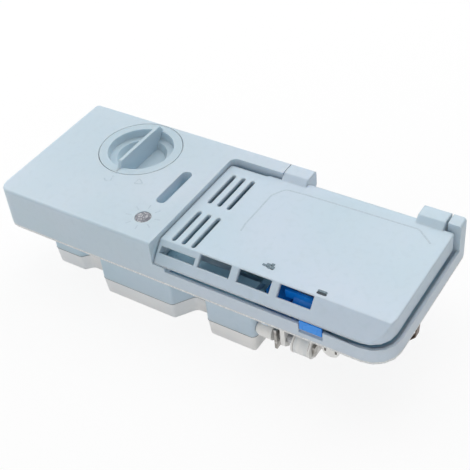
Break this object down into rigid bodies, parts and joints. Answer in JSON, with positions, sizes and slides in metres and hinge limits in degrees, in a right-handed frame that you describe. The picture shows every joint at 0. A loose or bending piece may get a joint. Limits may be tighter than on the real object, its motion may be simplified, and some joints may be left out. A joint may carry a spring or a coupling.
{
  "type": "dishwasher detergent dispenser",
  "caption": "Long door-mounted detergent dispenser: hinged vented lid over two cups, sprung latch and solenoid, raised block with dished filler cap, lens and rinse tank below.",
  "frame": {"origin": "centre of the bounding box's footprint, on the underside of the rinse tank cover", "axes": "+X along the dispenser from the raised block towards the lid's far end, +Y from the finger tab towards the hinge, +Z out of the door's inner panel"},
  "size_m": [0.245, 0.093, 0.0643],
  "materials": {
    "housing_plastic": "satin",
    "lid_plastic": "satin",
    "cap_plastic": "satin",
    "shell_plastic": "matt",
    "white_plastic": "satin",
    "blue_plastic": "glossy",
    "clear_plastic": "clear",
    "dark_rubber": "matt",
    "gasket_foam": "matt",
    "steel": "bright",
    "dark_steel": "oxidised",
    "copper": "varnished"
  },
  "bodies": {
    "housing": {"housing": "housing_plastic", "flange_gasket": "gasket_foam", "reservoir_cover": "shell_plastic", "indicator_lens": "clear_plastic", "hinge_pin_left": "steel", "hinge_pin_right": "steel", "lid_spring": "steel", "latch_pin": "steel", "latch_spring": "steel", "valve_barrel": "white_plastic", "valve_spring": "steel", "solenoid_yoke": "dark_steel", "yoke_screw_1": "steel", "yoke_screw_2": "steel", "coil_bobbin": "white_plastic", "coil_winding": "copper", "terminal_left": "dark_steel", "terminal_right": "dark_steel", "retaining_clip_left": "dark_steel", "retaining_clip_right": "dark_steel"},
    "lid": {"lid": "lid_plastic", "lid_seal": "dark_rubber"},
    "cap": {"filler_cap": "cap_plastic", "cap_seal": "dark_rubber"},
    "dose_knob": {"dose_selector": "white_plastic"},
    "armature": {"solenoid_plunger": "steel", "release_slider": "white_plastic", "valve_stem": "white_plastic", "valve_seal": "dark_rubber"},
    "latch": {"latch_lever": "blue_plastic"}
  },
  "joints": [
    {"name": "lid_hinge", "type": "hinge", "parent": "housing", "child": "lid", "pos_m": [0.0182, 0.0415, 0.056], "axis": [-1, 0, 0], "range_deg": [0, 95], "deforming": ["lid_spring"]},
    {"name": "cap_turn", "type": "hinge", "parent": "housing", "child": "cap", "pos_m": [-0.0691, 0.02, 0.06], "axis": [0, 0, 1], "range_deg": [0, 90]},
    {"name": "dose_turn", "type": "hinge", "parent": "housing", "child": "dose_knob", "pos_m": [-0.0691, 0.02, 0.0456], "axis": [0, 0, 1], "range_deg": [-150, 150]},
    {"name": "plunger_slide", "type": "slide", "parent": "housing", "child": "armature", "axis": [1, 0, 0], "range_m": [0, 0.0032], "stiffness_N_per_m": 150, "deforming": ["valve_spring"]},
    {"name": "latch_rock", "type": "hinge", "parent": "housing", "child": "latch", "pos_m": [0.065, -0.0375, 0.0408], "axis": [1, 0, 0], "range_deg": [0, 12], "stiffness_Nm_per_rad": 0.02, "deforming": ["latch_spring"]}
  ],
  "couplings": [
    {"joint": "latch_rock", "follows": "plunger_slide", "rad_per_m": 65.4}
  ]
}
